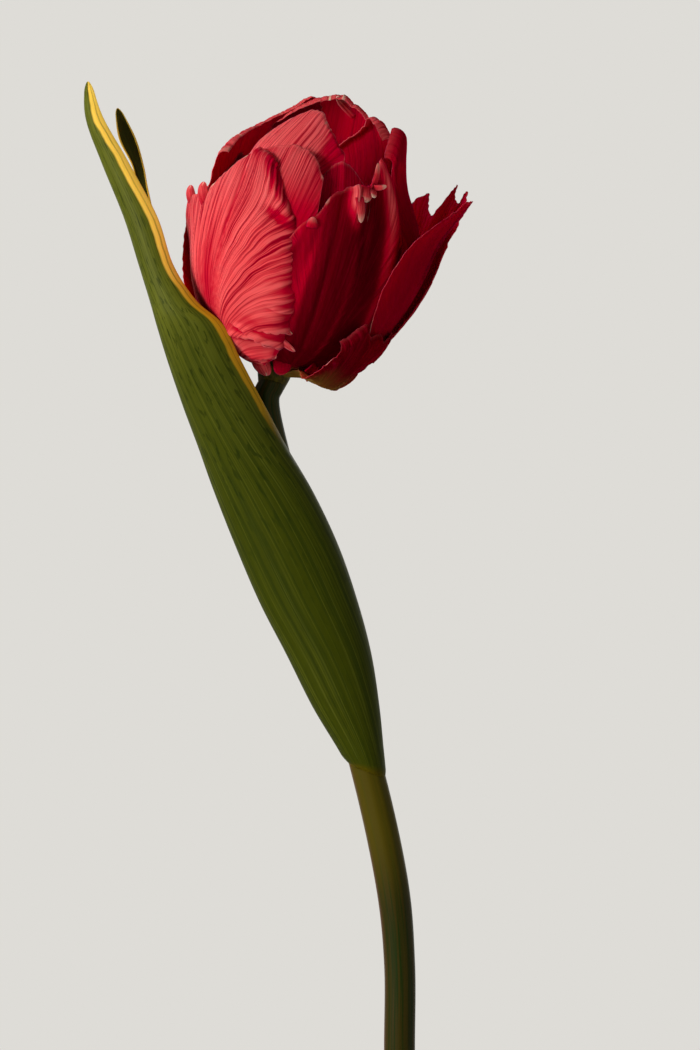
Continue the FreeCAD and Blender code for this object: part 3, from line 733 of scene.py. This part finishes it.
def petal_material(name, p):
    """Satin petal: fine veins, a paler coral bloom outside that also carries painted sheen, light and
    shade, a deeper inside that is partly painted shade, a painted highlight on the rim and pale flecks on
    the margin.
    """
    n = Nodes(bpy.data.materials.new(name))
    veins = n.attribute("veins")
    along = n.attribute("along")
    outside = n.attribute("outside")
    margin = n.attribute("margin")
    painted = n.attribute("bloom")
    layer = float(p["seed"]) * 3.7
    fine = n.grain(veins, along, (100.0, 4.0), layer, detail=2.0)
    broad = n.grain(veins, along, (26.0, 2.4), layer)
    cloud = n.grain(veins, along, (3.0, 3.0), layer + 9)
    streaks = n.math("ADD", n.times(fine, 0.5), n.times(broad, 0.5))
    # the ground: deep red, partly painted shade on the petals that lie in shade, to crimson outside, darker
    # between the streaks
    ground = blended(PETAL_RED, PETAL_DEEP_AND_SHADE, p["deep"])
    outer = n.mix(n.span(painted, 0.0, CRIMSON_BLOOM), ground, PETAL_RED)
    colour = n.mix(outside, PETAL_INSIDE, outer)
    dark = n.times(n.span(streaks, 0.5, 0.38), 0.7)
    colour = n.mix(dark, colour, PETAL_VEIN)
    # the bloom: coral along the streaks, the petal's own streaks and also a painted sheen and painted
    # light, as the petals have no gloss of their own
    outer_bloom = n.times(n.span(outside, 0.0, 1.0, 0.12, 1.0), painted)
    bloom = n.times(n.span(streaks, 0.38, 0.58), n.span(cloud, 0.25, 0.65, 0.6, 1.0))
    bloom = n.times(bloom, n.span(outer_bloom, CRIMSON_BLOOM, 1.0), 0.85)
    colour = n.mix(bloom, colour, PETAL_BLOOM_AND_SHEEN)
    # the margin: a painted highlight along the rim, and cream flecks and frills
    painted_rim_light = n.times(n.span(margin, 0.98, 1.0), n.span(painted, 0.0, 0.6, 0.08, 0.3))
    colour = n.mix(painted_rim_light, colour, PETAL_BLOOM_AND_SHEEN)
    fleck = n.grain(veins, along, (7.0, 1.0), layer + 4, detail=1.0)
    cream = n.times(n.span(margin, 0.975, 0.998), n.span(fleck, 0.64, 0.72))
    cream = n.times(cream, n.span(painted, 0.0, 0.6, 0.15, 0.8))
    cream = n.math("MAXIMUM", cream, n.attribute("cream"))
    colour = n.mix(n.times(cream, 0.8), colour, PETAL_CREAM)
    foot_end, foot_full, foot_share = p["green"]
    foot = n.times(n.span(along, foot_end, foot_full), foot_share)
    colour = n.mix(foot, colour, PETAL_GREEN)
    n.bump(streaks, 0.5, 0.12 * MM)
    n.glow_through(0.6, (1.0, 0.25, 0.4), 2.0 * MM)
    return n.finish(colour, n.span(streaks, 0.3, 0.7, 0.42, 0.56), specular=0.0)


def leaf_material(name, yellow_from):
    """Leaf with parallel veins, darker dashes, a waxy bloom that grows up the leaf as painted light from
    above, and a yellow margin that is amber lower down, partly as painted shade.

    yellow_from: the shares of the leaf's length between which the yellow sets in.
    """
    n = Nodes(bpy.data.materials.new(name))
    across = n.attribute("across")
    along = n.attribute("along")
    outside = n.attribute("outside")
    edge_mm = n.attribute("edge_mm")
    veins = n.grain(across, along, (46.0, 1.2), 1.0, detail=2.0)
    fine = n.grain(across, along, (130.0, 3.0), 2.0, detail=2.0)
    dashes = n.grain(across, along, (44.0, 34.0), 3.0, detail=2.0)
    cloud = n.grain(across, along, (3.0, 4.0), 4.0)
    colour = n.mix(outside, LEAF_INSIDE, LEAF_GREEN)
    # the bloom: the leaf's own wax, and painted light that grows up the leaf, so its lower part stays
    # darker as painted shade
    bloom = n.times(n.span(along, 0.25, 0.8, 0.0, 0.8), n.span(cloud, 0.3, 0.7, 0.3, 1.0), outside)
    colour = n.mix(bloom, colour, LEAF_BLOOM_AND_LIGHT)
    colour = n.mix(n.times(n.span(veins, 0.45, 0.62), 0.45), colour, LEAF_DASH)
    colour = n.mix(n.times(n.span(fine, 0.5, 0.7), 0.3), colour, LEAF_BLOOM_AND_LIGHT)
    dash = n.times(n.span(dashes, 0.58, 0.64), n.span(along, 0.2, 0.45, 0.1, 0.6))
    colour = n.mix(dash, colour, LEAF_DASH)
    # the yellow margin: mm wide, uneven, and split by green streaks
    shift = n.noise(n.vector(n.times(along, 16.0), 0.0, 5.0), 1.0, 2.0)
    border = n.math("ADD", edge_mm, n.times(n.math("SUBTRACT", shift, 0.5), 1.6))
    from_split = n.math("ABSOLUTE", n.math("SUBTRACT", border, 1.3))
    split = n.times(n.span(from_split, 0.3, 0.1), 0.7, n.span(fine, 0.4, 0.6))
    yellow = n.times(n.span(border, 3.0, 2.3), n.math("SUBTRACT", 1.0, split), n.span(along, *yellow_from))
    # the margin: amber lower down and yellow higher up, partly its own colour and partly painted light
    # falling from above
    margin_yellow_lit_above = n.mix(n.span(along, 0.66, 0.80), LEAF_AMBER, LEAF_YELLOW)
    colour = n.mix(yellow, colour, margin_yellow_lit_above)
    colour = n.mix(n.span(along, 0.03, 0.0), colour, STEM_YELLOW)
    n.bump(n.math("ADD", n.times(veins, 0.6), n.times(fine, 0.4)), 0.6, 0.15 * MM)
    n.glow_through(0.3, (1.0, 0.8, 0.1), 1.2 * MM)
    return n.finish(colour, n.span(cloud, 0.2, 0.8, 0.42, 0.56), specular=0.05)


def stem_material():
    """Olive stem with fine lengthwise fibres, yellower under the leaf, and a painted red-brown highlight
    down its left side.
    """
    n = Nodes(bpy.data.materials.new("stem_skin"))
    around = n.attribute("around")
    along = n.attribute("along")
    fibres = n.grain(around, along, (44.0, 5.0), 1.0, detail=2.0)
    patch = n.grain(around, along, (5.0, 9.0), 2.0)
    # a painted highlight: a red-brown tint down the left side, where the key lamp catches the edge
    left = n.span(n.math("ABSOLUTE", n.math("SUBTRACT", around, 0.5)), 0.12, 0.0)
    colour = n.mix(n.span(fibres, 0.4, 0.65), STEM_OLIVE, LEAF_DASH)
    clasp = n.times(n.span(along, 0.40, 0.5), n.span(along, 0.66, 0.56), 0.7)
    colour = n.mix(clasp, colour, STEM_YELLOW)
    colour = n.mix(n.times(left, n.span(patch, 0.3, 0.6, 0.3, 0.8)), colour, STEM_PAINTED_HIGHLIGHT)
    n.bump(fibres, 0.4, 0.1 * MM)
    return n.finish(colour, n.span(patch, 0.3, 0.7, 0.4, 0.52), specular=0.08)


def plain_tissue(name, colour, accent, scale, roughness, bump):
    """A small inner piece's material: two mottled colours and a fine grain."""
    n = Nodes(bpy.data.materials.new(name))
    place = n.add("TexCoord").outputs["Object"]
    grain = n.noise(place, scale, 4.0)
    colour = n.mix(n.span(grain, 0.35, 0.65), colour, accent)
    n.bump(grain, bump, 0.2 * MM)
    return n.finish(colour, roughness, specular=0.1)


def above_surroundings(grid, reach):
    """How far each place of a grid stands above the mean of the places up to reach steps away."""
    rows, columns = grid.shape
    padded = np.pad(grid, reach, mode="edge")
    steps = range(2 * reach + 1)
    total = sum(padded[i:i + rows, j:j + columns] for i in steps for j in steps)
    return grid - total / len(steps) ** 2


def bloom_and_shading_map(p, u, v, raised):
    """How much pale bloom each place of a petal carries: painted light on the folds that stand out,
    painted shade in the hollows, and the painted shade and highlights of its patches.
    """
    # folds that stand out above their surroundings get painted light, and hollows painted shade
    folds = np.clip(above_surroundings(raised, FOLD_REACH) / FOLD_HEIGHT, -1, 1)
    bloom = p["pale"] * (1 + FOLD_PAINTED_LIGHT * folds)
    for *place, amount in p["patches"]:
        bloom += amount * spot(u, v, *place)
    return np.clip(bloom, 0, 1)


def frill_sheet(pale, root, tip, width, cream=0.0, twist=0.0):
    """A small curled tongue from root to tip on a petal as pale as this: one sheet and its attributes."""
    t, s = grids(np.linspace(0, 1, FRILL_ROWS), np.linspace(-1, 1, FRILL_COLUMNS))
    radius, azimuth, height = [a + (b - a) * t for a, b in zip(root, tip)]
    centres = in_flower(radius + FRILL_CURL * np.sin(math.pi * t), azimuth, height)
    along = unit(np.gradient(centres, axis=0))
    outwards = centres - HEAD
    outwards = unit(outwards - (outwards @ UP)[..., None] * UP)
    outwards = cosine(twist) * outwards + cosine(90 - twist) * unit(np.cross(along, outwards))
    sideways = unit(np.cross(along, outwards))
    # a round tip, and sides that curl in
    half = width / 2 * (1 - t ** 3) ** 0.6 + 0.1
    places = centres + (sideways * (s * half)[..., None] - outwards * (0.3 * s * s * half)[..., None]) * MM
    thickness = np.full_like(t, FRILL_THICKNESS * MM)
    # it looks as a petal's margin does, and the more cream its tip has, the paler it is
    amount = min(0.3 + 0.7 * pale + 1.2 * cream, 1)
    attributes = {"veins": 0.15 * s, "along": 0.8 + 0.2 * t, "margin": 0.9 + 0.1 * t,
                  "bloom": (0.4 + 0.6 * t) * amount,
                  "cream": np.clip(cream * (t - PALE_FROM) / (1 - PALE_FROM), 0, 1)}
    return places, grid_normals(places), thickness, attributes, 1.0


def make_petal(name, p):
    """One petal from its dimensions, in place of its CAD node."""
    places, u, v = petal_sheet(p)
    veins = vein_label(p, u, v)
    raised = relief(p, u, v, veins)
    places = places + grid_normals(places) * (raised * MM)[..., None]
    margin = np.maximum(np.abs(u), v)
    thickness = PETAL_MIDDLE + (PETAL_MARGIN - PETAL_MIDDLE) * smooth(0.6, 1.0, margin)
    thickness = thickness + (PETAL_CLAW - thickness) * smooth(0.2, 0.0, v)
    attributes = {"veins": veins, "along": v, "margin": margin, "bloom": bloom_and_shading_map(p, u, v, raised),
                  "cream": np.zeros_like(u)}
    sheets = [(places, grid_normals(places), thickness * MM, attributes, 0.0)]
    sheets += [frill_sheet(p["pale"], *frill) for frill in p["frills"]]
    piece = sheets_piece(name + "_sheet", sheets)
    piece.data.materials.append(petal_material(name + "_skin", p))
    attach(piece, "root")
    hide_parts(name)


def leaf_sheet(rows):
    """A leaf's middle surface through its level sections, and its shares across (s) and along (t)."""
    t, s = grids(np.sin(np.linspace(0, math.pi / 2, LEAF_ROWS)), np.linspace(0, 1, LEAF_COLUMNS))
    rounding = np.sqrt(np.clip(1 - (np.maximum(t - 1 + LEAF_TIP, 0) / LEAF_TIP) ** 2, 0.003, 1))
    height, left, right, centre_y, depth, start, end = [through(column, t) for column in np.array(rows).T]
    leftmost = np.where((start <= 180) & (end >= 180), -1, np.minimum(cosine(start), cosine(end)))
    rightmost = np.where((end >= 360) | (start <= 0), 1, np.maximum(cosine(start), cosine(end)))
    half = (right - left) / (rightmost - leftmost)
    angle = start + (end - start) * s
    x = left + half * (cosine(angle) - leftmost)
    x = (left + right) / 2 + (x - (left + right) / 2) * rounding
    y = centre_y + depth * np.sin(np.radians(angle)) * rounding
    slant = (x - (left + right)[:1] / 2) * smooth(FOOT_SLANT_ROWS, 0, t)
    return np.stack([x, y, height - FOOT_SLANT * slant], -1) * MM, s, t


def make_leaf(name, rows, yellow_from, margin_share):
    """A leaf in place of its CAD node.

    yellow_from: the shares of its length between which its yellow margin sets in; margin_share: how
    broad that margin is.
    """
    places, s, t = leaf_sheet(rows)
    across = np.gradient(places, axis=1)
    normals = unit(np.cross(across, np.gradient(places, axis=0)))
    middle = (LEAF_ROWS // 2, LEAF_COLUMNS // 2)
    outwards = places[middle] - places[LEAF_ROWS // 2].mean(0)
    if normals[middle] @ outwards < 0:
        normals = -normals
    girth = np.linalg.norm(across, axis=-1).cumsum(1) / MM
    edge_mm = np.minimum(girth - girth[:, :1], girth[:, -1:] - girth)
    thickness = LEAF_THICKNESS * (0.3 + 0.7 * smooth(0, LEAF_MARGIN, edge_mm))
    thickness = thickness * (1 - 0.5 * smooth(0.9, 1.0, t)) * (0.2 + 0.8 * smooth(0.0, 0.02, t))
    margin_mm = edge_mm / np.clip(girth[:, -1:] / MARGIN_GIRTH, 0.15, 1) / margin_share
    attributes = {"across": s, "along": t, "edge_mm": margin_mm}
    piece = sheets_piece(name + "_blade", [(places, normals, thickness * MM, attributes, 0.0)])
    piece.data.materials.append(leaf_material(name + "_skin", yellow_from))
    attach(piece, "root")
    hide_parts(name)


def make_stem():
    """The stem as a tapering tube with closed ends, in place of its CAD node."""
    t = np.linspace(0, 1, STEM_RINGS)
    x, z, radius = [through(column, t) for column in np.array(STEM_LINE).T]
    centres = np.stack([x, np.zeros_like(x), z], -1)
    tangents = unit(np.gradient(centres, axis=0))
    tangents[0] = (0, 0, 1)
    back = np.array((0.0, 1.0, 0.0))
    side = np.cross(back, tangents)
    turn = np.linspace(0, 2 * math.pi, STEM_SEGMENTS, endpoint=False)
    ring = np.cos(turn)[None, :, None] * side[:, None, :] + np.sin(turn)[None, :, None] * back
    ridges = 1 + STEM_RIDGE * np.sin(STEM_RIDGES * turn)[None, :, None]
    points = (centres[:, None, :] + ring * radius[:, None, None] * ridges).reshape(-1, 3) * MM
    points[:STEM_SEGMENTS, 2] = 0
    index = np.arange(STEM_RINGS * STEM_SEGMENTS).reshape(STEM_RINGS, STEM_SEGMENTS)
    after = np.roll(index, -1, axis=1)
    faces = np.stack([index[:-1], after[:-1], after[1:], index[1:]], -1).reshape(-1, 4)
    piece = mesh_piece("stem_tube", points, faces, [index[0][::-1].tolist(), index[-1].tolist()])
    set_attribute(piece, "along", np.repeat(t, STEM_SEGMENTS))
    set_attribute(piece, "around", np.tile(turn / (2 * math.pi), STEM_RINGS))
    piece.data.materials.append(stem_material())
    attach(piece, "root")
    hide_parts("stem")


def dress_inner_pieces(nodes):
    """Materials of the CAD nodes that stay in view inside and under the flower."""
    looks = {kind: plain_tissue(kind + "_skin", *look) for kind, look in INNER_LOOKS.items()}
    for name, node in nodes.items():
        look = looks.get(name.split("_")[0])
        if look and not node.hide_render:
            node.data.materials.clear()
            node.data.materials.append(look)


def make_floor():
    """A wide pale floor that takes the shadow near the stem and fades into the background further out."""
    signs = np.array([(-1, -1, 0), (1, -1, 0), (1, 1, 0), (-1, 1, 0)])
    floor = mesh_piece("floor", FLOOR_HALF * signs, np.array([[0, 1, 2, 3]]))
    n = Nodes(bpy.data.materials.new("floor_paint"))
    place = n.add("NewGeometry").outputs["Position"]
    distance = n.add("VectorMath", {0: place}, operation="LENGTH").outputs["Value"]
    n.finish(BACKGROUND, 0.9, specular=0.1)
    glow = n.add("Emission", {"Color": BACKGROUND}).outputs[0]
    blend = n.add("MixShader", {0: n.span(distance, *FLOOR_FADE), 1: n.shader.outputs[0], 2: glow})
    n.put(n.tree.nodes["Material Output"].inputs["Surface"], blend.outputs[0])
    floor.data.materials.append(n.owner)


def make_world():
    """A pale background for what sees it, and a weaker even light on the flower."""
    world = bpy.data.worlds.new("studio")
    bpy.context.scene.world = world
    n = Nodes(world, "Background")
    rays = n.add("LightPath").outputs
    seen = n.math("MAXIMUM", rays["Is Glossy Ray"], rays["Is Transmission Ray"])
    seen = n.math("MAXIMUM", rays["Is Camera Ray"], seen)
    level = n.add("MapRange", {"Value": seen, "To Min": FILL_LIGHT, "To Max": 1.0})
    n.put(n.shader.inputs["Color"], BACKGROUND)
    n.put(n.shader.inputs["Strength"], level.outputs["Result"])


def make_lamps():
    """Soft boxes: a key from the left and two weaker ones, all turned to the flower."""
    for name, place, size, power, colour in LAMPS:
        lamp = bpy.data.lights.new(name, "AREA")
        lamp.size = size
        lamp.energy = power
        lamp.color = colour
        holder = bpy.data.objects.new(name, lamp)
        holder.location = place
        bpy.context.scene.collection.objects.link(holder)
        aim_at(holder, HEAD)


def aim_at(thing, target):
    """Turns a lamp or camera to look at a place."""
    look = Vector(target) - thing.location
    thing.rotation_euler = look.to_track_quat("-Z", "Y").to_euler()


def make_camera():
    """A long lens level with the middle of the picture, square on as the photograph was taken."""
    camera = bpy.data.cameras.new("camera")
    camera.sensor_width = SENSOR
    camera.lens = SENSOR * CAMERA_DISTANCE / (PHOTO_HEIGHT_PX * PX)
    camera.clip_end = FAR_CLIP
    holder = bpy.data.objects.new("camera", camera)
    x = (PHOTO_CENTRE_X_PX - STEM_FOOT_X_PX) * PX
    z = BELOW_PICTURE + PHOTO_HEIGHT_PX / 2 * PX
    holder.location = (x, -CAMERA_DISTANCE, z)
    bpy.context.scene.collection.objects.link(holder)
    aim_at(holder, (x, 0, z))
    bpy.context.scene.camera = holder


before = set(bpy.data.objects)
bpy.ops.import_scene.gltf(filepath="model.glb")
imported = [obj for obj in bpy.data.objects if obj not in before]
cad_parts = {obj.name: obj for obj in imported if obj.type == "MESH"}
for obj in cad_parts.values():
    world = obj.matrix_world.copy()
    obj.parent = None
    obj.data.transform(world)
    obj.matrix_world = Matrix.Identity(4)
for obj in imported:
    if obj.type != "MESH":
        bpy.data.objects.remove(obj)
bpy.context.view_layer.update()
bpy.context.scene.view_settings.view_transform = "Standard"
for petal_name, dimensions in PETALS.items():
    make_petal(petal_name, dimensions)
make_leaf("leaf_front", FRONT_LEAF, yellow_from=(0.43, 0.52), margin_share=1.0)
make_leaf("leaf_back", BACK_LEAF, yellow_from=(0.3, 0.5), margin_share=0.35)
make_stem()
dress_inner_pieces(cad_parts)
make_floor()
make_world()
make_lamps()
make_camera()
